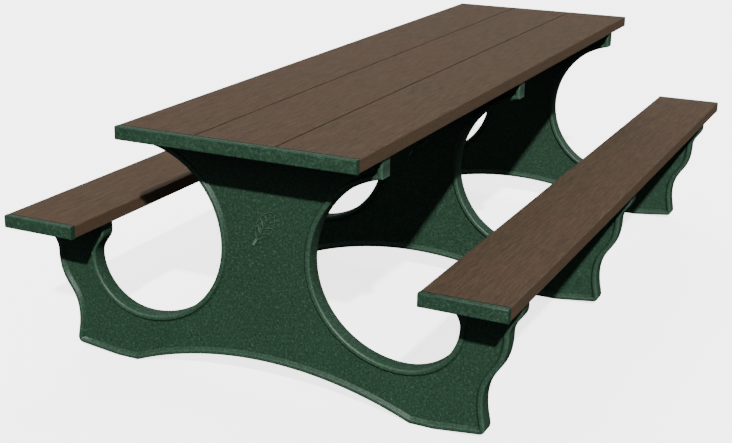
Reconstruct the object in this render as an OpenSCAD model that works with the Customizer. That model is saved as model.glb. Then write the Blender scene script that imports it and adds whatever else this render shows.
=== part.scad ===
// Picnic table with two fixed benches, bolted together from moulded recycled plastic.
// Three identical moulded frames stand across the table and carry five long boards.
// A strip closes each board end.
// Axes: X across the table, Y along the boards, Z up. The ground is z = 0, and the
// origin lies on the ground under the middle of the table. Millimetres.

/* [Overall] */
// Height of the table top above the ground
table_height = 762; // [635:1:914]
// Height of the seat tops above the ground
seat_height = 451; // [400:1:541]
// Length of the boards, without the end strips
board_length = 2438; // [1830:1:3000]
// Width over the outer edges of both seats
overall_width = 1524; // [1400:1:1829]

/* [Boards] */
// Width of one board
board_w = 236; // [190:1:260]
// Thickness of one board
board_t = 38; // [30:1:50]
// Gap between neighbouring boards of the table top
board_gap = 4; // [2:1:15]
// Radius along the long edges of a board
board_edge_r = 3; // [1:0.5:6]

/* [End strips] */
// Thickness of a strip, along the table
strip_t = 19; // [14:1:25]
// Radius along the long edges of a strip
strip_edge_r = 4; // [1:0.5:6]

/* [Frames] */
// Thickness of a frame, along the table
frame_t = 52; // [48:1:72]
// Distance from the end of the boards to the outer face of an end frame
frame_setback = 144; // [100:1:400]
// Width of the raised rim that follows every edge of a frame
rim_w = 20; // [12:1:24]
// Depth of the web face below the rim, on each side of a frame
rim_h = 9; // [4:0.5:10]
// Width of the waist between the two cutouts
waist_w = 279; // [220:1:340]
// Height of the narrowest place of the waist
waist_z = 409; // [380:1:440]
// Distance that the top boards stand out past the frame's top arm
top_overhang = 7; // [0:1:40]
// Height of the blunt end of the top arm
top_nose_h = 54.5; // [50:0.5:75]

/* [Cutouts and arch] */
// Height of the lowest point of a cutout above the ground
cutout_bottom_z = 154; // [125:1:170]
// Distance across from that lowest point to the seat arm
cutout_outer_r = 171; // [130:1:200]
// Height of the arch between the feet
arch_h = 86; // [40:1:100]

/* [Seat arms and feet] */
// Width of a seat arm at its neck
arm_w = 135; // [122:1:150]
// Width of the head of a seat arm, under the seat board
arm_head_w = 203; // [170:1:215]
// Height of the straight sides of the head
arm_head_h = 31; // [15:1:35]
// Height over which the head narrows to the neck
arm_shoulder_h = 75; // [50:1:90]
// Height of the ankle, where the leg is furthest in
ankle_z = 105; // [80:1:120]
// Distance from the outer edge of the seat in to the toe of the foot
toe_setback = 104; // [80:1:160]
// Distance from the toe in to the ankle
ankle_inset = 9.5; // [5:0.5:20]
// Length of a foot, from its toe to the start of the arch
foot_length = 216; // [140:1:230]
// Length of the flat sole that stands on the ground
sole_length = 70; // [40:1:100]
// Height that the sole rises to at the toe
toe_lift = 14.5; // [0:0.5:18]
// Radius of the toe
toe_r = 17; // [10:1:22]

/* [Board fixings] */
// Shank diameter of a lag screw
lag_d = 8; // [6:1:10]
// Depth of a lag screw in the board
lag_bite = 28; // [20:1:29]
// Frame material between the board and the washer
flange_t = 30; // [24:1:40]
// Height of the screw pocket under the flange
pocket_h = 74; // [70:1:80]
// Width of the screw pocket
pocket_w = 34; // [32:1:36]
// Diameter of a washer
washer_d = 20; // [18:1:24]
// Thickness of a washer
washer_t = 2; // [1:0.5:3]
// Width across the flats of a lag screw's head
lag_head_flats = 13; // [10:1:15]
// Height of a lag screw's head
lag_head_h = 5.5; // [4:0.5:8]
// Distance between the two lag screws of a top board on one frame
top_lag_spacing = 120; // [90:1:140]
// Distance between the two lag screws of a seat board on one frame
seat_lag_spacing = 66; // [50:1:70]

/* [Strip fixings] */
// Shank diameter of a strip screw
strip_screw_d = 5; // [4:0.5:6]
// Depth of a strip screw in the board
strip_screw_bite = 42; // [30:1:60]
// Head diameter of a strip screw
strip_head_d = 10; // [8:0.5:11]
// Head height of a strip screw
strip_head_h = 4; // [3:0.5:5]
// Diameter of the plug over a strip screw
plug_d = 13; // [12:0.5:16]
// Thickness of the plug
plug_t = 6; // [3:0.5:7]
// Distance between the two strip screws of one board end
strip_screw_spacing = 150; // [80:1:180]

/* [Fits] */
// Added to a screw's diameter for the hole that it passes through
hole_clearance = 1; // [0.5:0.1:2]
// Added to a screw's diameter for the hole that it bites in
bite_clearance = 0.2; // [0.1:0.1:0.4]
// Added to a washer's diameter for the round recess that it lies in
recess_clearance = 4; // [2:0.5:6]
// Added to a plug's diameter for its hole
plug_clearance = 0.2; // [0.1:0.1:0.4]

/* [Leaf emblem] */
// Height of the leaf on the outer web of a frame
leaf_h = 120; // [80:1:140]
// Height of the middle of the leaf above the ground
leaf_z = 489; // [440:1:520]
// Distance that the leaf stands up from the web
leaf_relief = 3; // [1:0.5:5]

/* [Hidden] */
$fn = 48;

frame_green = "#2C4A3A";
board_brown = "#645646";
steel = "#B9BCBE";
cut = 1;                                        // how far a cutting tool runs past a face
curve_steps = 10;

top_under_z = table_height - board_t;
seat_under_z = seat_height - board_t;
top_w = 3 * board_w + 2 * board_gap;
top_board_pitch = board_w + board_gap;
seat_x = overall_width / 2 - board_w / 2;       // middle of a seat board
frame_y = board_length / 2 - frame_setback - frame_t / 2;
FRAME_YS = [-frame_y, 0, frame_y];
FRAME_TURNS = [0, 0, 180];                      // the leaf faces out at both ends
strip_y = board_length / 2;

// Outline of half a frame
waist_x = waist_w / 2;
top_nose_x = top_w / 2 - top_overhang;
top_nose_z = top_under_z - top_nose_h;
arm_in_x = seat_x - arm_w / 2;
arm_out_x = seat_x + arm_w / 2;
head_in_x = seat_x - arm_head_w / 2;
head_out_x = seat_x + arm_head_w / 2;
head_z = seat_under_z - arm_head_h;
neck_z = head_z - arm_shoulder_h;
cutout_x = arm_in_x - cutout_outer_r;
toe_x = overall_width / 2 - toe_setback;
ankle_x = toe_x - ankle_inset;
heel_x = toe_x - foot_length;
arch_r = (heel_x * heel_x + arch_h * arch_h) / (2 * arch_h);

// The cutout is an ellipse on its waist side, which ends where it meets the top arm
cutout_rx = cutout_x - waist_x;
nose_angle = acos((top_nose_x - cutout_x) / cutout_rx);
cutout_top_rz = (top_nose_z - waist_z) / sin(nose_angle);

// Screw places across the table
top_lag_xs = [for (board = [-1, 0, 1], side = [-1, 1])
    board * top_board_pitch + side * top_lag_spacing / 2];
seat_lag_xs = [for (bench = [-1, 1], side = [-1, 1])
    bench * seat_x + side * seat_lag_spacing / 2];
top_strip_xs = [for (board = [-1, 0, 1], side = [-1, 1])
    board * top_board_pitch + side * strip_screw_spacing / 2];
seat_strip_xs = [for (bench = [-1, 1], side = [-1, 1])
    bench * seat_x + side * strip_screw_spacing / 2];
outer_lag_x = top_board_pitch + top_lag_spacing / 2;

lag_l = flange_t + washer_t + lag_bite;
pocket_floor_y = -washer_d / 2 - 2;             // the washer lies on the frame's mid-plane
strip_screw_l = strip_t - plug_t - strip_head_h + strip_screw_bite;

// ---- Curves --------------------------------------------------------------------

// Points along part of an ellipse, from angle a0 to angle a1
function ellipse_arc(centre, rx, rz, a0, a1, steps) =
    [for (i = [0:steps]) let (a = a0 + (a1 - a0) * i / steps)
        centre + [rx * cos(a), rz * sin(a)]];

// One point of a cubic curve with two handles
function cubic(p, t) =
    pow(1 - t, 3) * p[0] + 3 * pow(1 - t, 2) * t * p[1]
    + 3 * (1 - t) * t * t * p[2] + pow(t, 3) * p[3];

// An S-shaped edge that leaves a and reaches b upright; the leans set how soon it turns
function s_edge(a, b, lean_a, lean_b) =
    let (rise = b[1] - a[1])
    [for (i = [0:curve_steps])
        cubic([a, a + [0, rise * lean_a], b - [0, rise * lean_b], b], i / curve_steps)];

// Right half of a frame's outline, from the crown of the arch round to the top arm
half_outline = concat(
    ellipse_arc([0, arch_h - arch_r], arch_r, arch_r, 90, 90 - asin(heel_x / arch_r), 16),
    [[heel_x + sole_length, 0]],
    ellipse_arc([toe_x - toe_r, toe_lift + toe_r], toe_r, toe_r, -86, 0, 5),
    s_edge([toe_x, toe_lift + toe_r], [ankle_x, ankle_z], 0.2, 0.45),
    s_edge([ankle_x, ankle_z], [arm_out_x, neck_z], 0.5, 0.6),
    s_edge([arm_out_x, neck_z], [head_out_x, head_z], 0.45, 0.35),
    [[head_out_x, seat_under_z], [head_in_x, seat_under_z]],
    s_edge([head_in_x, head_z], [arm_in_x, neck_z], 0.35, 0.45),
    ellipse_arc([cutout_x, neck_z], cutout_outer_r, neck_z - cutout_bottom_z, 0, -90, 14),
    ellipse_arc([cutout_x, waist_z], cutout_rx, waist_z - cutout_bottom_z, -90, -180, 16),
    ellipse_arc([cutout_x, waist_z], cutout_rx, cutout_top_rz, 180, nose_angle, 14),
    [[top_nose_x, top_under_z]]);

// ---- Shared shapes -----------------------------------------------------------------

module half_frame_shape() {
    polygon(concat(half_outline, [[0, top_under_z]]));
}

module frame_shape() {
    half_frame_shape();
    mirror([1, 0]) half_frame_shape();
}

// Stands a flat XZ drawing up and gives it a thickness along Y, about its middle
module stand_up(thickness) {
    rotate([90, 0, 0]) linear_extrude(thickness, center = true) children();
}

// A leaf: two crossing circles make the blade, with a bar for the stalk
module leaf_shape() {
    leaf_r = leaf_h * 0.53;
    blade_h = leaf_h * 0.86;
    reach = sqrt(leaf_r * leaf_r - blade_h * blade_h / 4);
    rotate(-32) {
        intersection() {
            translate([-reach, 0]) circle(leaf_r);
            translate([reach, 0]) circle(leaf_r);
        }
        translate([-leaf_h * 0.03, -leaf_h * 0.6]) square([leaf_h * 0.06, leaf_h * 0.3]);
    }
}

module leaf_vein_shape() {
    rotate(-32) translate([-leaf_h * 0.015, -leaf_h * 0.3])
        square([leaf_h * 0.03, leaf_h * 0.62]);
}

// A long bar of rectangular section with rounded long edges, lying along Z
module rounded_section(w, t, r) {
    square([w - 2 * r, t], center = true);
    square([w, t - 2 * r], center = true);
    for (sx = [-1, 1], sz = [-1, 1])
        translate([sx * (w / 2 - r), sz * (t / 2 - r)]) circle(r);
}

// ---- Frames ----------------------------------------------------------------------

// Pocket for one lag screw: open on the inner face, with a hole up through the flange
module screw_pocket(x, seat_z) {
    translate([x - pocket_w / 2, pocket_floor_y, seat_z - flange_t - pocket_h])
        cube([pocket_w, frame_t, pocket_h]);
    screw_hole(x, seat_z);
}

module screw_hole(x, seat_z) {
    translate([x, 0, seat_z - flange_t - cut])
        cylinder(h = flange_t + 2 * cut, d = lag_d + hole_clearance);
}

// Round recess for the outermost screw, which is reached from under the top arm
module screw_counterbore(x) {
    depth = top_nose_h + pocket_h;
    translate([x, 0, top_under_z - flange_t - depth])
        cylinder(h = depth, d = washer_d + recess_clearance);
    screw_hole(x, top_under_z);
}

module frame_body() {
    web_t = frame_t - 2 * rim_h;
    difference() {
        stand_up(frame_t) frame_shape();
        for (side = [-1, 1])
            translate([0, side * (web_t / 2 + frame_t / 2), 0])
                stand_up(frame_t) offset(r = -rim_w) frame_shape();
        for (x = top_lag_xs)
            if (abs(x) < outer_lag_x - cut) screw_pocket(x, top_under_z);
            else screw_counterbore(x);
        for (x = seat_lag_xs) screw_pocket(x, seat_under_z);
    }
    translate([0, -web_t / 2 - leaf_relief / 2, leaf_z])
        stand_up(leaf_relief) difference() {
            leaf_shape();
            leaf_vein_shape();
        }
}

module frame(place) {
    color(frame_green) translate([0, FRAME_YS[place], 0])
        rotate([0, 0, FRAME_TURNS[place]]) frame_body();
}

// ---- Boards ----------------------------------------------------------------------

module board(x, z_under, lag_xs, strip_xs) {
    bite_top = z_under + lag_bite;
    color(board_brown) difference() {
        translate([x, 0, z_under + board_t / 2])
            stand_up(board_length) rounded_section(board_w, board_t, board_edge_r);
        for (y = FRAME_YS, lag_x = lag_xs)
            if (abs(lag_x - x) < board_w / 2)
                translate([lag_x, y, z_under - cut])
                    cylinder(h = lag_bite + cut, d = lag_d + bite_clearance);
        for (end = [-1, 1], screw_x = strip_xs)
            if (abs(screw_x - x) < board_w / 2)
                translate([screw_x, end * (strip_y - strip_screw_bite), z_under + board_t / 2])
                    rotate([-90 * end, 0, 0])
                        cylinder(h = strip_screw_bite + cut, d = strip_screw_d + bite_clearance);
    }
}

module top_board(row) {
    board(row * top_board_pitch, top_under_z, top_lag_xs, top_strip_xs);
}

module seat_board(bench) {
    board(bench * seat_x, seat_under_z, seat_lag_xs, seat_strip_xs);
}

// ---- End strips --------------------------------------------------------------------

// A strip along the ends of the boards, with a stepped hole for each screw and its plug
module end_strip(x, w, z_under, screw_xs, end) {
    recess = plug_t + strip_head_h;
    color(frame_green) difference() {
        translate([x, end * (strip_y + strip_t / 2), z_under + board_t / 2])
            rotate([0, 90, 0]) linear_extrude(w, center = true)
                rounded_section(board_t, strip_t, strip_edge_r);
        for (screw_x = screw_xs)
            if (abs(screw_x - x) < w / 2)
                translate([screw_x, end * strip_y, z_under + board_t / 2])
                    rotate([-90 * end, 0, 0]) {
                        translate([0, 0, -cut])
                            cylinder(h = strip_t + 2 * cut, d = strip_screw_d + hole_clearance);
                        translate([0, 0, strip_t - recess])
                            cylinder(h = recess + cut, d = plug_d + plug_clearance);
                    }
    }
}

module top_end_strip(end) {
    end_strip(0, top_w, top_under_z, top_strip_xs, end);
}

module seat_end_strip(bench, end) {
    end_strip(bench * seat_x, board_w, seat_under_z, seat_strip_xs, end);
}

// ---- Fasteners -----------------------------------------------------------------------

// Hexagon-head lag screw, driven up from the washer into the board
module lag_screw() {
    color(steel) {
        cylinder(h = lag_l, d = lag_d);
        translate([0, 0, -lag_head_h])
            cylinder(h = lag_head_h, d = lag_head_flats / cos(30), $fn = 6);
    }
}

module washer() {
    color(steel) difference() {
        cylinder(h = washer_t, d = washer_d);
        translate([0, 0, -cut]) cylinder(h = washer_t + 2 * cut, d = lag_d + hole_clearance);
    }
}

// Puts a child under every board at every frame, with z = 0 at the washer's lower face
module at_lag_places(lag_xs, z_under) {
    for (y = FRAME_YS, x = lag_xs)
        translate([x, y, z_under - flange_t - washer_t]) children();
}

module strip_screw() {
    color(steel) {
        translate([0, 0, -strip_screw_bite]) cylinder(h = strip_screw_l, d = strip_screw_d);
        translate([0, 0, strip_t - plug_t - strip_head_h])
            cylinder(h = strip_head_h, d = strip_head_d);
    }
}

module strip_plug() {
    color(frame_green) translate([0, 0, strip_t - plug_t]) cylinder(h = plug_t, d = plug_d);
}

// Puts a child at every strip screw, with z = 0 at the board's end and +Z pointing out
module at_strip_places(screw_xs, z_under) {
    for (end = [-1, 1], x = screw_xs)
        translate([x, end * strip_y, z_under + board_t / 2])
            rotate([-90 * end, 0, 0]) children();
}

module top_lag_screws() { at_lag_places(top_lag_xs, top_under_z) lag_screw(); }
module top_washers() { at_lag_places(top_lag_xs, top_under_z) washer(); }
module seat_lag_screws() { at_lag_places(seat_lag_xs, seat_under_z) lag_screw(); }
module seat_washers() { at_lag_places(seat_lag_xs, seat_under_z) washer(); }
module top_strip_screws() { at_strip_places(top_strip_xs, top_under_z) strip_screw(); }
module top_strip_plugs() { at_strip_places(top_strip_xs, top_under_z) strip_plug(); }
module seat_strip_screws() { at_strip_places(seat_strip_xs, seat_under_z) strip_screw(); }
module seat_strip_plugs() { at_strip_places(seat_strip_xs, seat_under_z) strip_plug(); }

frame(0);  // frame_front
frame(1);  // frame_middle
frame(2);  // frame_rear
top_board(-1);  // top_board_left
top_board(0);  // top_board_middle
top_board(1);  // top_board_right
seat_board(-1);  // seat_board_left
seat_board(1);  // seat_board_right
top_end_strip(-1);  // top_end_strip_front
top_end_strip(1);  // top_end_strip_rear
seat_end_strip(-1, -1);  // seat_end_strip_front_left
seat_end_strip(1, -1);  // seat_end_strip_front_right
seat_end_strip(-1, 1);  // seat_end_strip_rear_left
seat_end_strip(1, 1);  // seat_end_strip_rear_right
top_lag_screws();
top_washers();
seat_lag_screws();
seat_washers();
top_strip_screws();
top_strip_plugs();
seat_strip_screws();
seat_strip_plugs();
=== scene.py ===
import math

import bmesh
import bpy
import numpy
from mathutils import Matrix, Vector


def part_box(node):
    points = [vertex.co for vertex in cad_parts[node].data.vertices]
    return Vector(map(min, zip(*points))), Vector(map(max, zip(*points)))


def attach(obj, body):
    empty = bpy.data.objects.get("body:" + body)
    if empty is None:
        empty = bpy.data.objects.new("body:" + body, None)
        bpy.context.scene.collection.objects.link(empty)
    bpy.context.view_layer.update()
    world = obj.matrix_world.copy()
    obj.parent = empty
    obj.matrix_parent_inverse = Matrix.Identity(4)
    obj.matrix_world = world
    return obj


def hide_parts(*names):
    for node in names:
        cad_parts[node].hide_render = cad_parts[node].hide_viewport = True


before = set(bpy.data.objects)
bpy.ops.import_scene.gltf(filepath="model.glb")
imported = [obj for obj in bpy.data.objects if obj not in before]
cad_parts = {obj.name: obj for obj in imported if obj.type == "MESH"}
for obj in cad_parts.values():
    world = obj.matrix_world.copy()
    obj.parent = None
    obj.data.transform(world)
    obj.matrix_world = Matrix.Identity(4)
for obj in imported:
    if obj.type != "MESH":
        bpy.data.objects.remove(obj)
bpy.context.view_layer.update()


# ---- Camera ------------------------------------------------------------------------
# The view of a person of middle height who stands well off the right front corner of the
# table and looks along its boards, through a lens somewhat longer than a normal one.

MM = 0.001
CAMERA_AT_MM = (1652, -3875, 1585)
CAMERA_PAN = math.radians(25.99)        # turned left from the table's long axis
CAMERA_TILT = math.radians(18.69)       # looking down
CAMERA_ROLL = math.radians(0.69)
LENS_MM = 62.15
SENSOR_MM = 36
LENS_SHIFT = (0.0098, 0.0088)
FARTHEST_VIEW = 60.0


def standing_camera():
    data = bpy.data.cameras.new("standing_camera")
    data.lens = LENS_MM
    data.sensor_width = SENSOR_MM
    data.shift_x, data.shift_y = LENS_SHIFT
    data.clip_end = FARTHEST_VIEW
    camera = bpy.data.objects.new("standing_camera", data)
    bpy.context.scene.collection.objects.link(camera)
    turn = (Matrix.Rotation(CAMERA_PAN, 4, "Z")
            @ Matrix.Rotation(math.pi / 2 - CAMERA_TILT, 4, "X")
            @ Matrix.Rotation(CAMERA_ROLL, 4, "Z"))
    camera.matrix_world = Matrix.Translation(Vector(CAMERA_AT_MM) * MM) @ turn
    bpy.context.scene.camera = camera


standing_camera()


# ---- Floor and light ---------------------------------------------------------------
# A pale sheet lit from behind makes the floor, so the shadow on it stays light. The key
# lamp stands high at the front right, and a broad, dimmer one behind lights the far side.
# A dim dome, darker underneath, fills the shadows.

KEY_TOWARDS = (0.52, -1.0, 0.85)
KEY_STRENGTH = 7.2
KEY_SPREAD = math.radians(1.5)
BACK_TOWARDS = (-0.6, 1.0, 0.6)
BACK_STRENGTH = 3.4
BACK_SPREAD = math.radians(50)
SKY_COLOUR = "#B2B9C0"
GROUND_COLOUR = "#2A2C2B"
FLOOR_SIZE = 60.0


def linear(hex_colour):
    """An sRGB hex colour as the linear RGBA that a shader takes."""
    parts = [int(hex_colour[i:i + 2], 16) / 255 for i in (1, 3, 5)]
    return [c / 12.92 if c <= 0.04045 else ((c + 0.055) / 1.055) ** 2.4 for c in parts] + [1.0]


def put(tree, kind, sockets=None, **settings):
    """Adds a node. Each socket, by name or number, gets a value or the output that feeds it."""
    made = tree.nodes.new(kind)
    for name, value in settings.items():
        setattr(made, name, value)
    for name, value in (sockets or {}).items():
        if isinstance(value, bpy.types.NodeSocket):
            tree.links.new(value, made.inputs[name])
        else:
            made.inputs[name].default_value = value
    return made


def patches(width):
    """The scale at which a noise's patches, or a Voronoi's cells, are about this wide."""
    return 1 / width


# The places of a colour Mix node's factor, two colours and result among its sockets
BLEND, FIRST, SECOND, MIXED = 0, 6, 7, 2


def new_material(name):
    material = bpy.data.materials.new(name)
    material.use_nodes = True
    material.node_tree.nodes.clear()
    return material, material.node_tree


def studio_sheet():
    """Matt white acrylic lit from behind: even and pale, with a faint cloudiness."""
    material, tree = new_material("studio_sheet")
    place = put(tree, "ShaderNodeTexCoord")
    cloud = put(tree, "ShaderNodeTexNoise", {
        "Vector": place.outputs["Object"], "Scale": patches(1600 * MM)})
    tone = put(tree, "ShaderNodeMix", {
        BLEND: cloud.outputs["Fac"], FIRST: linear("#F2F2F0"), SECOND: linear("#F7F7F6")},
        data_type="RGBA")
    shader = put(tree, "ShaderNodeBsdfPrincipled", {
        "Base Color": tone.outputs[MIXED], "Roughness": 0.9,
        "Emission Color": tone.outputs[MIXED], "Emission Strength": 3.2})
    put(tree, "ShaderNodeOutputMaterial", {"Surface": shader.outputs["BSDF"]})
    return material


def far_lamp(name, towards, strength, spread):
    """A lamp so far off that its light comes from one direction, or nearly."""
    lamp = bpy.data.lights.new(name, "SUN")
    lamp.energy = strength
    lamp.angle = spread
    hung = bpy.data.objects.new(name, lamp)
    hung.rotation_euler = Vector(towards).to_track_quat("Z", "Y").to_euler()
    bpy.context.scene.collection.objects.link(hung)
    return hung


def studio():
    half = FLOOR_SIZE / 2
    mesh = bpy.data.meshes.new("studio_floor")
    corners = [(-half, -half, 0), (half, -half, 0), (half, half, 0), (-half, half, 0)]
    mesh.from_pydata(corners, [], [(0, 1, 2, 3)])
    mesh.materials.append(studio_sheet())
    floor = bpy.data.objects.new("studio_floor", mesh)
    bpy.context.scene.collection.objects.link(floor)
    floor.visible_diffuse = False
    floor.visible_glossy = False

    far_lamp("key_lamp", KEY_TOWARDS, KEY_STRENGTH, KEY_SPREAD)
    back = far_lamp("back_lamp", BACK_TOWARDS, BACK_STRENGTH, BACK_SPREAD)
    back.visible_glossy = False         # as through a polarising filter: no glare on the boards

    world = bpy.data.worlds.new("studio_dome")
    world.use_nodes = True
    tree = world.node_tree
    tree.nodes.clear()
    towards = put(tree, "ShaderNodeTexCoord")
    height = put(tree, "ShaderNodeSeparateXYZ", {"Vector": towards.outputs["Generated"]})
    above = put(tree, "ShaderNodeMapRange", {
        "Value": height.outputs["Z"], "From Min": -0.1, "From Max": 0.25})
    dome = put(tree, "ShaderNodeMix", {
        BLEND: above.outputs["Result"], FIRST: linear(GROUND_COLOUR),
        SECOND: linear(SKY_COLOUR)}, data_type="RGBA")
    glow = put(tree, "ShaderNodeBackground", {"Color": dome.outputs[MIXED], "Strength": 1.0})
    put(tree, "ShaderNodeOutputWorld", {"Surface": glow.outputs["Background"]})
    bpy.context.scene.world = world


studio()


# ---- Frames --------------------------------------------------------------------------
# Three identical mouldings of green recycled polyethylene stand across the table. Each is
# a plate with a thinner web, whose edges all carry a rounded rim. Pockets moulded in the
# inner side take the screws that hold the boards.

WEB_DEPTH = 9 * MM                      # from the rim's face down to the web
RIM_EDGE_R = 6 * MM                     # the round at the frame's outer edge
RIM_CROWN = 5 * MM                      # the flat strip on top of the rim
RIM_ROLL_R = 3.6 * MM                   # the rounds above and below its inner bank
RIM_BANK = math.radians(55)             # how steeply that falls to the web
POCKET_W = 34 * MM
POCKET_H = 74 * MM
POCKET_CORNER_R = 4 * MM
POCKET_FLOOR = 12 * MM                  # past the frame's mid-plane
FLANGE_T = 30 * MM
SCREW_HOLE_R = 4.5 * MM
COUNTERBORE_R = 12 * MM
OUTERMOST_SCREW_X = 250 * MM            # screws further out stand in a round recess
OVERSHOOT = 1 * MM                      # of a drill past what it cuts

LEAF_Z = 489 * MM
LEAF_LEAN = math.radians(32)
LEAF_HALF = 52 * MM                     # half of the blade's length
LEAF_ARC_R = 64 * MM                    # each side of the blade is an arc of this radius
LEAF_TIP_HALF_W = 0.4 * MM
LEAF_ROOT = 2 * MM                      # how deep the underside lies in the web
LEAF_RELIEF = 3 * MM                    # height of the bead round the blade, rib and veins
LEAF_BLADE = 0.4 * MM                   # height between them
LEAF_BEAD_IN = 3.2 * MM                 # from the blade's edge to the middle of its bead
LEAF_BEAD_HALF_W = 2.2 * MM
LEAF_RIB_HALF_W = 2.4 * MM
LEAF_VEIN_GAP = 21 * MM
LEAF_VEIN_HALF_W = 0.12 * LEAF_VEIN_GAP
LEAF_VEIN_SWEEP = 0.9                   # how far a vein runs up for each step outwards
LEAF_STALK_W = 7 * MM
LEAF_STALK_REACH = 72 * MM

SNAP = 0.01 * MM                        # points nearer than this are one
LONGEST_CURVE_STEP = 34 * MM            # a longer step of the outline is straight
SHARPEST_CURVE_TURN = math.radians(24)  # a sharper one is a corner
EVEN_STEPS = 0.4                        # steps less even than this don't share a curve
CREASE = math.radians(32)               # a sharper edge isn't shaded smooth
BROAD_FACE = 400 * MM * MM              # a larger face is shaded flat


def with_painted_shade(tree, colour, shade_colour, reach):
    """The colour, darkened towards a shade colour where two surfaces meet or a gap closes in: a
    painted shade, wherever ambient occlusion finds the surface hemmed in.
    """
    open_sky = put(tree, "ShaderNodeAmbientOcclusion", {"Distance": reach}, samples=8)
    shade_amount = put(tree, "ShaderNodeMapRange", {
        "Value": open_sky.outputs["AO"], "From Min": 0.85, "From Max": 0.4})
    return put(tree, "ShaderNodeMix", {
        BLEND: shade_amount.outputs["Result"], FIRST: colour, SECOND: linear(shade_colour)},
        data_type="RGBA").outputs[MIXED]


def recycled_green(name, stipple_height, rub_and_highlight):
    """Green recycled polyethylene, matt from a shot-blasted mould: the eye sees a dark green
    ground with paler and darker flecks, and a pebbled skin that breaks the light up. Convex
    edges are painted paler, as much as the last argument says: a painted highlight, with a
    little rubbed wear in it. Where surfaces meet or a recess closes in, a painted shade darkens
    the colour. Real flecks are about 3 mm across and real pebbles 1 to 2 mm; here they are
    6.5 mm and 4 mm, so that they show."""
    material, tree = new_material(name)
    place = put(tree, "ShaderNodeTexCoord").outputs["Object"]
    cloud = put(tree, "ShaderNodeTexNoise", {
        "Vector": place, "Scale": patches(200 * MM), "Detail": 3.0})
    ground = put(tree, "ShaderNodeMix", {
        BLEND: cloud.outputs["Fac"], FIRST: linear("#172E20"), SECOND: linear("#1E3727")},
        data_type="RGBA")
    fleck = put(tree, "ShaderNodeTexNoise", {
        "Vector": place, "Scale": patches(6.5 * MM), "Detail": 4.0, "Roughness": 0.65,
        "Distortion": 0.6})
    pale = put(tree, "ShaderNodeMapRange", {
        "Value": fleck.outputs["Fac"], "From Min": 0.52, "From Max": 0.85})
    flecked = put(tree, "ShaderNodeMix", {
        BLEND: pale.outputs["Result"], FIRST: ground.outputs[MIXED], SECOND: linear("#3D5B43")},
        data_type="RGBA")
    deep = put(tree, "ShaderNodeMapRange", {
        "Value": fleck.outputs["Fac"], "From Min": 0.48, "From Max": 0.25})
    mottled = put(tree, "ShaderNodeMix", {
        BLEND: deep.outputs["Result"], FIRST: flecked.outputs[MIXED], SECOND: linear("#0B1A11")},
        data_type="RGBA")
    # Convex edges, where the mesh's pointiness is high, are painted paler towards #557360: a
    # painted highlight, with a little rubbed wear in it.
    bend = put(tree, "ShaderNodeNewGeometry")
    edge_wear_and_highlight = put(tree, "ShaderNodeMapRange", {
        "Value": bend.outputs["Pointiness"], "From Min": 0.51, "From Max": 0.60,
        "To Max": rub_and_highlight})
    rubbed_and_highlit = put(tree, "ShaderNodeMix", {
        BLEND: edge_wear_and_highlight.outputs["Result"], FIRST: mottled.outputs[MIXED], SECOND: linear("#557360")},
        data_type="RGBA")
    pebble = put(tree, "ShaderNodeTexVoronoi", {"Vector": place, "Scale": patches(4 * MM)})
    grit = put(tree, "ShaderNodeTexNoise", {
        "Vector": place, "Scale": patches(2.4 * MM), "Detail": 3.0})
    skin = put(tree, "ShaderNodeMath", {
        0: pebble.outputs["Distance"], 1: grit.outputs["Fac"]}, operation="ADD")
    stipple = put(tree, "ShaderNodeBump", {
        "Height": skin.outputs["Value"], "Strength": 0.55, "Distance": stipple_height})
    gloss = put(tree, "ShaderNodeMapRange", {
        "Value": grit.outputs["Fac"], "To Min": 0.42, "To Max": 0.62})
    # Where surfaces meet or a recess closes in, the colour darkens towards #07100B: a painted
    # shade.
    shader = put(tree, "ShaderNodeBsdfPrincipled", {
        "Base Color": with_painted_shade(tree, rubbed_and_highlit.outputs[MIXED], "#07100B", 12 * MM),
        "Roughness": gloss.outputs["Result"],
        "Normal": stipple.outputs["Normal"], "IOR": 1.51,
        "Specular IOR Level": 0.35})
    put(tree, "ShaderNodeOutputMaterial", {"Surface": shader.outputs["BSDF"]})
    return material


def merged_copy(node):
    """A CAD node's mesh with its loose triangles joined up."""
    solid = bmesh.new()
    solid.from_mesh(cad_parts[node].data)
    bmesh.ops.remove_doubles(solid, verts=solid.verts, dist=2 * SNAP)
    return solid


def loose_boxes(node):
    """The lowest and highest corner of each separate solid in a CAD node."""
    solid = merged_copy(node)
    waiting = set(solid.verts)
    boxes = []
    while waiting:
        reach = [waiting.pop()]
        found = list(reach)
        while reach:
            near = {e.other_vert(v) for v in reach for e in v.link_edges} & waiting
            waiting -= near
            reach = list(near)
            found += reach
        corners = [[pick(v.co[axis] for v in found) for axis in range(3)] for pick in (min, max)]
        boxes.append((Vector(corners[0]), Vector(corners[1])))
    solid.free()
    return sorted(boxes, key=lambda box: tuple(round(c, 4) for c in box[0]))


def outer_edge(node):
    """The outline of a CAD frame, in order, as (x, z) points on its front face."""
    solid = merged_copy(node)
    face_y = min(v.co.y for v in solid.verts)
    beside = {}
    for edge in solid.edges:
        if any(abs(v.co.y - face_y) > SNAP for v in edge.verts):
            continue
        tilts = sorted(abs(f.normal.y) for f in edge.link_faces)
        if tilts[0] < 0.5 < tilts[-1]:
            for v in edge.verts:
                beside.setdefault(v, []).append(edge.other_vert(v))
    start = min(beside, key=lambda v: (round(v.co.z, 5), v.co.x))
    loop = [start, beside[start][0]]
    while True:
        either = beside[loop[-1]]
        onward = either[0] if either[1] is loop[-2] else either[1]
        if onward is start:
            break
        loop.append(onward)
    points = [Vector((v.co.x, v.co.z)) for v in loop]
    solid.free()
    area = sum(a.cross(b) for a, b in zip(points, points[1:] + points[:1]))
    return points if area > 0 else points[::-1]


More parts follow.
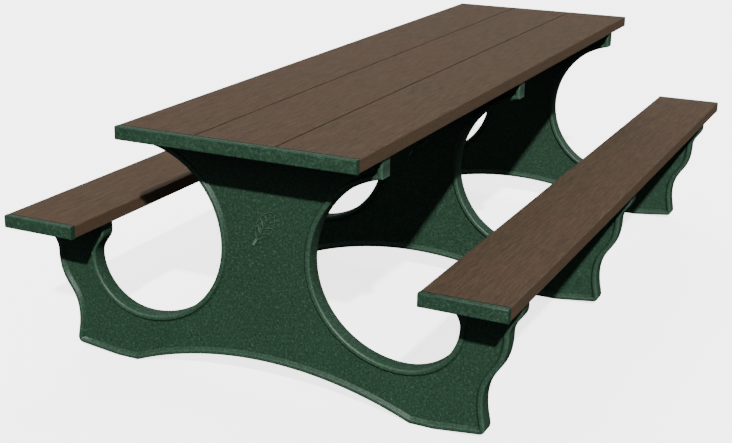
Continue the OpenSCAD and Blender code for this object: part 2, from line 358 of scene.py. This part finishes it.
def rounder(points):
    """Halves each step of the outline, and lets the middle of a curve's step bulge with it."""
    count = len(points)
    ahead = [points[(i + 1) % count] - points[i] for i in range(count)]
    bends = []
    for i in range(count):
        before, after = ahead[i - 1], ahead[i]
        turn = math.atan2(before.cross(after), before.dot(after))
        curved = (max(before.length, after.length) < LONGEST_CURVE_STEP
                  and EVEN_STEPS < before.length / after.length < 1 / EVEN_STEPS
                  and abs(turn) < SHARPEST_CURVE_TURN)
        bends.append(2 * turn / (before.length + after.length) if curved else None)
    out = []
    for i in range(count):
        known = [bend for bend in (bends[i], bends[(i + 1) % count]) if bend is not None]
        bulge = sum(known) / len(known) * ahead[i].length ** 2 / 8 if known else 0
        side = Vector((ahead[i].y, -ahead[i].x)).normalized()
        out += [points[i], points[i] + ahead[i] / 2 + side * bulge]
    return out


def nearness(spots, points):
    """The distance from each spot to the closed line through the points."""
    here = numpy.array(points)
    along = numpy.roll(here, -1, axis=0) - here
    reach = numpy.array(spots)[:, None, :] - here[None, :, :]
    part = (reach * along).sum(axis=2) / (along * along).sum(axis=1)
    gap = reach - numpy.clip(part, 0, 1)[:, :, None] * along
    return numpy.sqrt((gap * gap).sum(axis=2)).min(axis=1)


def inset(points, distance):
    """The outline moved inwards by a distance, with mitred corners. Where an arc or a corner
    is too tight for that, its points gather where the two sides meet."""
    count = len(points)
    along = [(points[(i + 1) % count] - points[i]).normalized() for i in range(count)]
    moved = []
    for i in range(count):
        a, b = (Vector((-way.y, way.x)) for way in (along[i - 1], along[i]))
        moved.append(points[i] + (a + b) * (distance / (1 + a.dot(b))))
    crossed = nearness(moved, points) < distance - 2 * SNAP
    start = next(i for i in range(count) if not crossed[i])
    i = start + 1
    while i < start + count:
        if not crossed[i % count]:
            i += 1
            continue
        first = i
        while crossed[i % count]:
            i += 1
        a, b = moved[(first - 1) % count], moved[i % count]
        way_a, way_b = along[(first - 1) % count], along[(i - 1) % count]
        lean = way_a.cross(way_b)
        for k in range(first, i):
            if abs(lean) > 0.05:
                moved[k % count] = a + way_a * ((b - a).cross(way_b) / lean)
            else:
                moved[k % count] = a.lerp(b, (k - first + 1) / (i - first + 1))
    return moved


def rim_section():
    """The rim, as points this far in from the frame's edge and this far below its face."""
    eighths = [k * math.pi / 8 for k in range(5)]
    edge = [(RIM_EDGE_R * (1 - math.cos(a)), RIM_EDGE_R * (1 - math.sin(a))) for a in eighths]
    roll = [(RIM_ROLL_R * math.sin(a), RIM_ROLL_R * (1 - math.cos(a)))
            for a in (0, RIM_BANK / 2, RIM_BANK)]
    straight = (WEB_DEPTH - 2 * roll[-1][1]) / math.tan(RIM_BANK)
    crest = RIM_EDGE_R + RIM_CROWN
    foot = crest + 2 * roll[-1][0] + straight
    bank = [(crest + along, down) for along, down in roll]
    bank += [(foot - along, WEB_DEPTH - down) for along, down in reversed(roll)]
    return edge + bank


def moulded_plate(outline, thickness):
    """The frame as one closed skin: web, rim, outer side, rim and web again."""
    rings = [(inward, below - thickness / 2) for inward, below in rim_section()]
    rings = rings[::-1] + [(inward, -y) for inward, y in rings]
    mesh = bmesh.new()
    loops = []
    for inward, y in rings:
        loops.append([mesh.verts.new((p.x, y, p.y)) for p in inset(outline, inward)])
    count = len(outline)
    for near, far in zip(loops, loops[1:]):
        for i in range(count):
            j = (i + 1) % count
            mesh.faces.new((near[i], near[j], far[j], far[i]))
    mesh.faces.new(loops[0])
    mesh.faces.new(loops[-1])
    bmesh.ops.remove_doubles(mesh, verts=mesh.verts, dist=SNAP)
    bmesh.ops.recalc_face_normals(mesh, faces=mesh.faces)
    return mesh


def rounded_block(low, high, corner_r):
    """A closed block whose edges along Y are rounded."""
    block = bmesh.new()
    bmesh.ops.create_cube(block, size=1)
    for v in block.verts:
        v.co = [low[k] + (v.co[k] + 0.5) * (high[k] - low[k]) for k in range(3)]
    across = [e for e in block.edges if abs(e.verts[0].co.y - e.verts[1].co.y) > MM]
    bmesh.ops.bevel(block, geom=across, offset=corner_r, segments=4, profile=0.5, affect="EDGES")
    return block


def join(mesh, other):
    """Adds one mesh to another, and frees the other."""
    data = bpy.data.meshes.new("joined")
    other.to_mesh(data)
    other.free()
    mesh.from_mesh(data)
    bpy.data.meshes.remove(data)


def leaf_height(u, v, half):
    """How far the leaf stands up from the web, across (v) and along (u) its blade."""
    bead = math.exp(-((half - abs(v) - LEAF_BEAD_IN) / LEAF_BEAD_HALF_W) ** 4)
    rib = math.exp(-(v / LEAF_RIB_HALF_W) ** 4)
    off_vein = (u - LEAF_VEIN_SWEEP * abs(v)) % LEAF_VEIN_GAP - LEAF_VEIN_GAP / 2
    vein = 0.8 * math.exp(-(off_vein / LEAF_VEIN_HALF_W) ** 4)
    return LEAF_BLADE + (LEAF_RELIEF - LEAF_BLADE) * max(bead, rib, vein)


def raised_leaf(web_y):
    """A veined leaf that stands up from the outer web, as one closed skin."""
    mesh = bmesh.new()
    reach = math.sqrt(LEAF_ARC_R ** 2 - LEAF_HALF ** 2)
    lean = Matrix.Translation((0, 0, LEAF_Z)) @ Matrix.Rotation(LEAF_LEAN, 4, "Y")
    rows, columns = 110, 44
    skins = []
    for raised in (True, False):
        skin = []
        for i in range(rows + 1):
            u = -LEAF_HALF + 2 * LEAF_HALF * i / rows
            half = max(math.sqrt(LEAF_ARC_R ** 2 - u * u) - reach, LEAF_TIP_HALF_W)
            across = [half * (2 * j / columns - 1) for j in range(columns + 1)]
            heights = [leaf_height(u, v, half) if raised else -LEAF_ROOT for v in across]
            skin.append([mesh.verts.new(lean @ Vector((v, web_y - height, u)))
                         for v, height in zip(across, heights)])
        skins.append(skin)
    for skin in skins:
        for i in range(rows):
            for j in range(columns):
                mesh.faces.new((skin[i][j], skin[i][j + 1], skin[i + 1][j + 1], skin[i + 1][j]))
    top, bottom = skins
    rim = ([(0, j) for j in range(columns)] + [(i, columns) for i in range(rows)]
           + [(rows, j) for j in range(columns, 0, -1)] + [(i, 0) for i in range(rows, 0, -1)])
    for here, there in zip(rim, rim[1:] + rim[:1]):
        mesh.faces.new((top[here[0]][here[1]], top[there[0]][there[1]],
                        bottom[there[0]][there[1]], bottom[here[0]][here[1]]))
    stalk = rounded_block((-LEAF_STALK_W / 2, web_y - 0.9 * LEAF_RELIEF, -LEAF_STALK_REACH),
                          (LEAF_STALK_W / 2, web_y + LEAF_ROOT, -LEAF_HALF + 6 * MM), MM)
    stalk.transform(lean)
    join(mesh, stalk)
    bmesh.ops.recalc_face_normals(mesh, faces=mesh.faces)
    return mesh


def upright_drill(x, y, low, high, radius):
    drill = bmesh.new()
    middle = Matrix.Translation((x, y, (low + high) / 2))
    bmesh.ops.create_cone(drill, cap_ends=True, segments=32, radius1=radius, radius2=radius,
                          depth=high - low, matrix=middle)
    return drill


def as_object(name, mesh):
    data = bpy.data.meshes.new(name)
    mesh.to_mesh(data)
    mesh.free()
    made = bpy.data.objects.new(name, data)
    bpy.context.scene.collection.objects.link(made)
    return made


def plain_mesh(made):
    """Applies an object's modifiers and removes them."""
    graph = bpy.context.evaluated_depsgraph_get()
    data = bpy.data.meshes.new_from_object(made.evaluated_get(graph))
    made.modifiers.clear()
    made.data = data
    return made


def cut_away(made, tools):
    """Cuts a set of closed, separate tools out of an object."""
    joined = bmesh.new()
    for tool in tools:
        join(joined, tool)
    cutter = as_object("cutter", joined)
    modifier = made.modifiers.new("cut", "BOOLEAN")
    modifier.operation = "DIFFERENCE"
    modifier.solver = "EXACT"
    modifier.object = cutter
    plain_mesh(made)
    bpy.data.objects.remove(cutter)
    return made


def smooth_but_flat(data):
    """Smooth shading that keeps corners and the broad flat faces crisp."""
    data.shade_smooth()
    data.set_sharp_from_angle(angle=CREASE)
    mesh = bmesh.new()
    mesh.from_mesh(data)
    for face in mesh.faces:
        if face.calc_area() > BROAD_FACE:
            for edge in face.edges:
                edge.smooth = False
    mesh.to_mesh(data)
    mesh.free()


def frame_moulding():
    """One frame, standing where the middle one does."""
    low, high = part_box("frame_middle")
    thickness = high.y - low.y
    outline = rounder(rounder(outer_edge("frame_middle")))
    made = as_object("moulding", moulded_plate(outline, thickness))
    pockets, holes = [], []
    for node in ("top_washers", "seat_washers"):
        for box in loose_boxes(node):
            x, y, seat = (box[0].x + box[1].x) / 2, (box[0].y + box[1].y) / 2, box[1].z
            if abs(y) > thickness:
                continue
            if abs(x) < OUTERMOST_SCREW_X or node == "seat_washers":
                pockets.append(rounded_block(
                    (x - POCKET_W / 2, -POCKET_FLOOR, seat - POCKET_H),
                    (x + POCKET_W / 2, thickness, seat), POCKET_CORNER_R))
            else:
                pockets.append(upright_drill(x, 0, seat - 2 * POCKET_H, seat, COUNTERBORE_R))
            holes.append(upright_drill(x, 0, seat - OVERSHOOT, seat + FLANGE_T + OVERSHOOT,
                                       SCREW_HOLE_R))
    cut_away(made, pockets)
    cut_away(made, holes)
    solid = bmesh.new()
    solid.from_mesh(made.data)
    join(solid, raised_leaf(-thickness / 2 + WEB_DEPTH))
    solid.to_mesh(made.data)
    solid.free()
    smooth_but_flat(made.data)
    return made


def moulded_frames():
    # The frames' convex edges are painted up to half way paler: a painted highlight, with a
    # little wear.
    green = recycled_green("green_moulded_polyethylene", 0.5 * MM, 0.5)
    pattern = frame_moulding()
    for node, turn in (("frame_front", 0), ("frame_middle", 0), ("frame_rear", math.pi)):
        low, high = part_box(node)
        made = bpy.data.objects.new(node + "_moulding", pattern.data.copy())
        bpy.context.scene.collection.objects.link(made)
        shift = Matrix.Translation((0, (low.y + high.y) / 2, 0))
        made.data.transform(shift @ Matrix.Rotation(turn, 4, "Z"))
        made.data.materials.clear()
        made.data.materials.append(green)
        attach(made, "root")
        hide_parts(node)
    bpy.data.objects.remove(pattern)


moulded_frames()


# ---- Boards ------------------------------------------------------------------------
# Five extruded boards of brown recycled polyethylene, sawn to one length: three make the
# table top, with narrow gaps between them, and one makes each seat.

STREAK_W = 6.5 * MM
STREAK_LENGTH = 72 * MM


def brown_lumber():
    """Extruded recycled plastic lumber: the eye sees a matt, warm brown with faint streaks
    that run along the board, flecks of some 4 mm and a leathery skin with 3 mm wrinkles. Real
    streaks are about half as wide as these, which have to show. The upright sides are painted
    a shade paler than the broad faces, as painted light on them, and a painted shade darkens
    the colour where surfaces meet or a gap closes in."""
    material, tree = new_material("brown_extruded_polyethylene")
    place = put(tree, "ShaderNodeTexCoord").outputs["Object"]
    drawn = put(tree, "ShaderNodeMapping", {
        "Vector": place, "Scale": (1.0, STREAK_W / STREAK_LENGTH, 1.0)})
    streak = put(tree, "ShaderNodeTexNoise", {
        "Vector": drawn.outputs["Vector"], "Scale": patches(STREAK_W), "Detail": 6.0,
        "Roughness": 0.72})
    strong = put(tree, "ShaderNodeMapRange", {
        "Value": streak.outputs["Fac"], "From Min": 0.33, "From Max": 0.67})
    ground = put(tree, "ShaderNodeMix", {
        BLEND: strong.outputs["Result"], FIRST: linear("#2F251A"), SECOND: linear("#493A29")},
        data_type="RGBA")
    cloud = put(tree, "ShaderNodeTexNoise", {
        "Vector": place, "Scale": patches(220 * MM), "Detail": 2.0})
    warm = put(tree, "ShaderNodeMapRange", {
        "Value": cloud.outputs["Fac"], "From Min": 0.35, "From Max": 0.7, "To Max": 0.35})
    warmed = put(tree, "ShaderNodeMix", {
        BLEND: warm.outputs["Result"], FIRST: ground.outputs[MIXED], SECOND: linear("#452F22")},
        data_type="RGBA")
    fleck = put(tree, "ShaderNodeTexNoise", {
        "Vector": place, "Scale": patches(4 * MM), "Detail": 3.0, "Roughness": 0.7})
    dark = put(tree, "ShaderNodeMapRange", {
        "Value": fleck.outputs["Fac"], "From Min": 0.5, "From Max": 0.3, "To Max": 0.7})
    flecked = put(tree, "ShaderNodeMix", {
        BLEND: dark.outputs["Result"], FIRST: warmed.outputs[MIXED], SECOND: linear("#1F160F")},
        data_type="RGBA")
    # Faces that stand upright are painted paler towards #5E4B3A: painted light on the boards'
    # sides.
    faces = put(tree, "ShaderNodeSeparateXYZ", {
        "Vector": put(tree, "ShaderNodeNewGeometry").outputs["Normal"]})
    level = put(tree, "ShaderNodeMath", {0: faces.outputs["Z"]}, operation="ABSOLUTE")
    side = put(tree, "ShaderNodeMapRange", {
        "Value": level.outputs["Value"], "From Min": 0.9, "From Max": 0.5, "To Max": 0.3})
    side_lit = put(tree, "ShaderNodeMix", {
        BLEND: side.outputs["Result"], FIRST: flecked.outputs[MIXED], SECOND: linear("#5E4B3A")},
        data_type="RGBA")
    skin = put(tree, "ShaderNodeTexNoise", {
        "Vector": place, "Scale": patches(3 * MM), "Detail": 3.0, "Distortion": 1.2})
    ripple = put(tree, "ShaderNodeMath", {
        0: skin.outputs["Fac"], 1: streak.outputs["Fac"]}, operation="ADD")
    wrinkle = put(tree, "ShaderNodeBump", {
        "Height": ripple.outputs["Value"], "Strength": 0.45, "Distance": 0.5 * MM})
    gloss = put(tree, "ShaderNodeMapRange", {
        "Value": skin.outputs["Fac"], "To Min": 0.68, "To Max": 0.9})
    # Where surfaces meet or the gap between boards closes in, the colour darkens towards
    # #150E08: a painted shade.
    shader = put(tree, "ShaderNodeBsdfPrincipled", {
        "Base Color": with_painted_shade(tree, side_lit.outputs[MIXED], "#150E08", 14 * MM),
        "Roughness": gloss.outputs["Result"],
        "Normal": wrinkle.outputs["Normal"], "IOR": 1.51,
        "Specular IOR Level": 0.2})
    put(tree, "ShaderNodeOutputMaterial", {"Surface": shader.outputs["BSDF"]})
    return material


def coat(node, material):
    """Gives a CAD node a new finish."""
    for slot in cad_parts[node].material_slots:
        slot.material = material


lumber = brown_lumber()
for board in ("top_board_left", "top_board_middle", "top_board_right",
              "seat_board_left", "seat_board_right"):
    coat(board, lumber)


# ---- Lag screws and washers ------------------------------------------------------------
# Stainless hexagon lag screws, each on a washer, come up through the frames, two of them
# into each board. They are forged and thread-rolled; the washers are punched and tumbled.

LAG_FLATS = 13 * MM
LAG_HEAD_H = 5.5 * MM
LAG_HEAD_EASE = 0.3 * MM
LAG_R = 4 * MM
LAG_LENGTH = 60 * MM
LAG_THREAD = 34 * MM
LAG_PITCH = 3.2 * MM
WASHER_R = 10 * MM
WASHER_HOLE_R = 4.5 * MM
WASHER_T = 2 * MM
WASHER_EASE = 0.3 * MM
THREAD_DEPTH = 0.24                     # as a share of the crest's radius
FASTENER_CREASE = math.radians(34)


def satin_steel():
    """Stainless steel, tumbled after forging: the eye sees a grey metal with soft, blurred
    reflections, clouded in patches of 4 mm. Its scratches are drawn 0.4 mm wide, some four
    times as coarse as real ones, to show from near."""
    material, tree = new_material("satin_stainless_steel")
    place = put(tree, "ShaderNodeTexCoord").outputs["Object"]
    cloud = put(tree, "ShaderNodeTexNoise", {
        "Vector": place, "Scale": patches(4 * MM), "Detail": 3.0})
    tone = put(tree, "ShaderNodeMix", {
        BLEND: cloud.outputs["Fac"], FIRST: linear("#A9ABA9"), SECOND: linear("#C9CAC6")},
        data_type="RGBA")
    scratch = put(tree, "ShaderNodeTexNoise", {
        "Vector": place, "Scale": patches(0.4 * MM), "Detail": 2.0, "Distortion": 2.0})
    blur = put(tree, "ShaderNodeMapRange", {
        "Value": cloud.outputs["Fac"], "To Min": 0.24, "To Max": 0.42})
    rough = put(tree, "ShaderNodeBump", {
        "Height": scratch.outputs["Fac"], "Strength": 0.25, "Distance": 0.05 * MM})
    shader = put(tree, "ShaderNodeBsdfPrincipled", {
        "Base Color": tone.outputs[MIXED], "Metallic": 1.0,
        "Roughness": blur.outputs["Result"], "Normal": rough.outputs["Normal"]})
    put(tree, "ShaderNodeOutputMaterial", {"Surface": shader.outputs["BSDF"]})
    return material


def turned_skin(rings, sides, closed_loop=False):
    """A closed skin around Z from rings, each a (height, radius at an angle) pair."""
    mesh = bmesh.new()
    angles = [2 * math.pi * k / sides for k in range(sides)]
    loops = [[mesh.verts.new((radius(a) * math.cos(a), radius(a) * math.sin(a), z))
              for a in angles] for z, radius in rings]
    pairs = list(zip(loops, loops[1:]))
    if closed_loop:
        pairs.append((loops[-1], loops[0]))
    for low, high in pairs:
        for i in range(sides):
            j = (i + 1) % sides
            mesh.faces.new((low[i], low[j], high[j], high[i]))
    if not closed_loop:
        mesh.faces.new(loops[0])
        mesh.faces.new(loops[-1])
    bmesh.ops.recalc_face_normals(mesh, faces=mesh.faces)
    return mesh


def round_ring(z, radius):
    """A ring for turned_skin with the same radius at every angle."""
    return z, lambda angle: radius


def threaded(low, high, plain_to, crest_r, pitch):
    """A shank that is plain up to a height and wears a spiral thread from there to its tip."""
    def at(z):
        fade = min(1, (z - plain_to) / pitch)
        taper = min(1, 0.35 + (high - z) / (3 * crest_r))

        def radius(angle):
            wave = abs((z / pitch - angle / (2 * math.pi)) % 1 - 0.5) * 2
            return crest_r * taper * (1 - THREAD_DEPTH * fade * wave)
        return z, radius

    steps = round((high - plain_to) / pitch * 6)
    rings = [round_ring(low, crest_r), round_ring(plain_to, crest_r)]
    rings += [at(plain_to + (high - plain_to) * k / steps) for k in range(1, steps + 1)]
    return turned_skin(rings, 16)


def hexagon_ring(z, flats, cap_r):
    """A hexagon for turned_skin, whose corners are cut back to a radius."""
    def radius(angle):
        to_flat = (angle + math.pi / 6) % (math.pi / 3) - math.pi / 6
        return min(flats / 2 / math.cos(to_flat), cap_r)
    return z, radius


def lag_screw():
    """Standing on its head, with its point up."""
    corner = LAG_FLATS / 2 / math.cos(math.pi / 6)
    head = turned_skin([hexagon_ring(0, LAG_FLATS, 0.9 * LAG_FLATS / 2),
                        hexagon_ring(LAG_HEAD_EASE, LAG_FLATS, 0.99 * LAG_FLATS / 2),
                        hexagon_ring(3 * LAG_HEAD_EASE, LAG_FLATS, corner),
                        hexagon_ring(LAG_HEAD_H - LAG_HEAD_EASE, LAG_FLATS, corner),
                        hexagon_ring(LAG_HEAD_H, LAG_FLATS, 0.97 * corner)], 48)
    tip = LAG_HEAD_H + LAG_LENGTH
    join(head, threaded(LAG_HEAD_H - 0.2 * MM, tip, tip - LAG_THREAD, LAG_R, LAG_PITCH))
    return head


def washer():
    """Standing on z = 0, with edges worn smooth by tumbling."""
    section = ((0, WASHER_HOLE_R + WASHER_EASE), (0, WASHER_R - WASHER_EASE),
               (WASHER_EASE, WASHER_R), (WASHER_T - WASHER_EASE, WASHER_R),
               (WASHER_T, WASHER_R - WASHER_EASE), (WASHER_T, WASHER_HOLE_R + WASHER_EASE),
               (WASHER_T - WASHER_EASE, WASHER_HOLE_R), (WASHER_EASE, WASHER_HOLE_R))
    return turned_skin([round_ring(z, radius) for z, radius in section], 40, closed_loop=True)


# The places of a float's upper limit and of its result among a Random Value node's sockets
MOST, DRAWN = 3, 1


def repeater(name):
    """A node group that sets one part at every point, turned as the point says."""
    group = bpy.data.node_groups.new(name, "GeometryNodeTree")
    group.interface.new_socket("Places", in_out="INPUT", socket_type="NodeSocketGeometry")
    part = group.interface.new_socket("Part", in_out="INPUT", socket_type="NodeSocketObject")
    spin = group.interface.new_socket("Spin", in_out="INPUT", socket_type="NodeSocketFloat")
    finish = group.interface.new_socket("Finish", in_out="INPUT",
                                        socket_type="NodeSocketMaterial")
    group.interface.new_socket("Parts", in_out="OUTPUT", socket_type="NodeSocketGeometry")
    given = put(group, "NodeGroupInput")
    facing = put(group, "GeometryNodeInputNamedAttribute", {"Name": "facing"},
                 data_type="FLOAT_VECTOR")
    chance = put(group, "FunctionNodeRandomValue", {MOST: given.outputs["Spin"], "Seed": 3})
    about_axis = put(group, "ShaderNodeCombineXYZ", {"Z": chance.outputs[DRAWN]})
    source = put(group, "GeometryNodeObjectInfo", {"Object": given.outputs["Part"]})
    aimed = put(group, "FunctionNodeAlignRotationToVector", {
        "Vector": facing.outputs["Attribute"]}, axis="Z")
    points = put(group, "GeometryNodeMeshToPoints", {"Mesh": given.outputs["Places"]})
    placed = put(group, "GeometryNodeInstanceOnPoints", {
        "Points": points.outputs["Points"], "Instance": source.outputs["Geometry"],
        "Rotation": aimed.outputs["Rotation"]})
    spun = put(group, "GeometryNodeRotateInstances", {
        "Instances": placed.outputs["Instances"], "Rotation": about_axis.outputs["Vector"]})
    real = put(group, "GeometryNodeRealizeInstances", {"Geometry": spun.outputs["Instances"]})
    coated = put(group, "GeometryNodeSetMaterial", {
        "Geometry": real.outputs["Geometry"], "Material": given.outputs["Finish"]})
    put(group, "NodeGroupOutput", {"Parts": coated.outputs["Geometry"]})
    return group, {"Part": part.identifier, "Spin": spin.identifier,
                   "Finish": finish.identifier}


def set_out(node, shape, face, facing, finish):
    """Sets a part at each separate solid of a CAD node, in place of that node. The face is
    the side of the CAD solid on which the part's own z = 0 lies."""
    group, inputs = repeater(node + "_repeat")
    spots = []
    for low, high in loose_boxes(node):
        spot = (low + high) / 2
        outward = facing(spot)
        reach = (high - low) / 2
        spots.append((spot + face * Vector(a * b for a, b in zip(outward, reach)), outward))
    places = bpy.data.meshes.new(node + "_places")
    places.from_pydata([spot for spot, outward in spots], [], [])
    stored = places.attributes.new("facing", "FLOAT_VECTOR", "POINT")
    for value, (spot, outward) in zip(stored.data, spots):
        value.vector = outward
    made = bpy.data.objects.new(node + "_set", places)
    bpy.context.scene.collection.objects.link(made)
    part = as_object(node + "_part", shape)
    part.data.shade_smooth()
    part.data.set_sharp_from_angle(angle=FASTENER_CREASE)
    modifier = made.modifiers.new("repeat", "NODES")
    modifier.node_group = group
    modifier[inputs["Part"]] = part
    modifier[inputs["Spin"]] = math.tau
    modifier[inputs["Finish"]] = finish
    plain_mesh(made)
    bpy.data.objects.remove(part)
    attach(made, "root")
    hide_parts(node)


def upward(spot):
    """The way a lag screw points, wherever it stands."""
    return Vector((0, 0, 1))


steel = satin_steel()
for width in ("top", "seat"):
    set_out(width + "_lag_screws", lag_screw(), -1, upward, steel)
    set_out(width + "_washers", washer(), -1, upward, steel)


# ---- End strips ----------------------------------------------------------------------
# Green strips of the same plastic cover the sawn ends: one across the three top boards
# and one on each seat, at both ends. Their corners are eased with a router.

STRIP_EASE = 1.6 * MM


def eased_copy(node):
    """A CAD node's shape with its sharp edges rounded over."""
    solid = merged_copy(node)
    bmesh.ops.dissolve_limit(solid, angle_limit=math.radians(1), verts=solid.verts,
                             edges=solid.edges)
    made = as_object(node + "_eased", solid)
    ease = made.modifiers.new("ease", "BEVEL")
    ease.width = STRIP_EASE
    ease.segments = 3
    ease.limit_method = "ANGLE"
    ease.angle_limit = math.radians(50)
    plain_mesh(made)
    smooth_but_flat(made.data)
    return made


strip_green = recycled_green("green_extruded_polyethylene", 0.35 * MM, 0.0)
for strip in ("top_end_strip_front", "top_end_strip_rear",
              "seat_end_strip_front_left", "seat_end_strip_front_right",
              "seat_end_strip_rear_left", "seat_end_strip_rear_right"):
    eased = eased_copy(strip)
    eased.data.materials.clear()
    eased.data.materials.append(strip_green)
    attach(eased, "root")
    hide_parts(strip)


# ---- Strip screws and plugs ------------------------------------------------------------
# Stainless pan-head screws, sunk below the face of the strips, hold them to the sawn ends of
# the boards. A moulded green plug, pressed in flush, hides each of them.

PAN_HEAD_R = 5 * MM
PAN_HEAD_H = 4 * MM
STRIP_SCREW_R = 2.5 * MM
STRIP_SCREW_LENGTH = 51 * MM
STRIP_SCREW_THREAD = 32 * MM
STRIP_SCREW_PITCH = 2.2 * MM
PLUG_R = 6.5 * MM
PLUG_T = 6 * MM


def pan_head_screw():
    """Pointing down, with the top of its domed and dimpled head at z = 0."""
    dome = [round_ring(-0.9 * MM, 0.3 * PAN_HEAD_R), round_ring(-0.05 * MM, 0.42 * PAN_HEAD_R)]
    dome += [round_ring(-PAN_HEAD_H * (1 - math.cos(a)) * 0.75, PAN_HEAD_R * math.sin(a))
             for a in (math.radians(30 + 12 * k) for k in range(6))]
    head = turned_skin(dome + [round_ring(-PAN_HEAD_H, PAN_HEAD_R)], 24)
    tip = PAN_HEAD_H + STRIP_SCREW_LENGTH
    shank = threaded(PAN_HEAD_H - 0.2 * MM, tip, tip - STRIP_SCREW_THREAD, STRIP_SCREW_R,
                     STRIP_SCREW_PITCH)
    bmesh.ops.transform(shank, matrix=Matrix.Rotation(math.pi, 4, "X"), verts=shank.verts)
    join(head, shank)
    return head


def plug():
    """With its outer face at z = 0, slightly hollowed in the moulding."""
    return turned_skin([round_ring(-PLUG_T, PLUG_R), round_ring(-0.5 * MM, PLUG_R),
                        round_ring(-0.1 * MM, PLUG_R - 0.5 * MM),
                        round_ring(0, PLUG_R - 1.1 * MM),
                        round_ring(-0.25 * MM, 0.5 * PLUG_R)], 32)


def endward(spot):
    """Out of the nearer end of the table, where the strips are."""
    return Vector((0, math.copysign(1, spot.y), 0))


for width in ("top", "seat"):
    set_out(width + "_strip_screws", pan_head_screw(), 1, endward, steel)
    set_out(width + "_strip_plugs", plug(), 1, endward, strip_green)
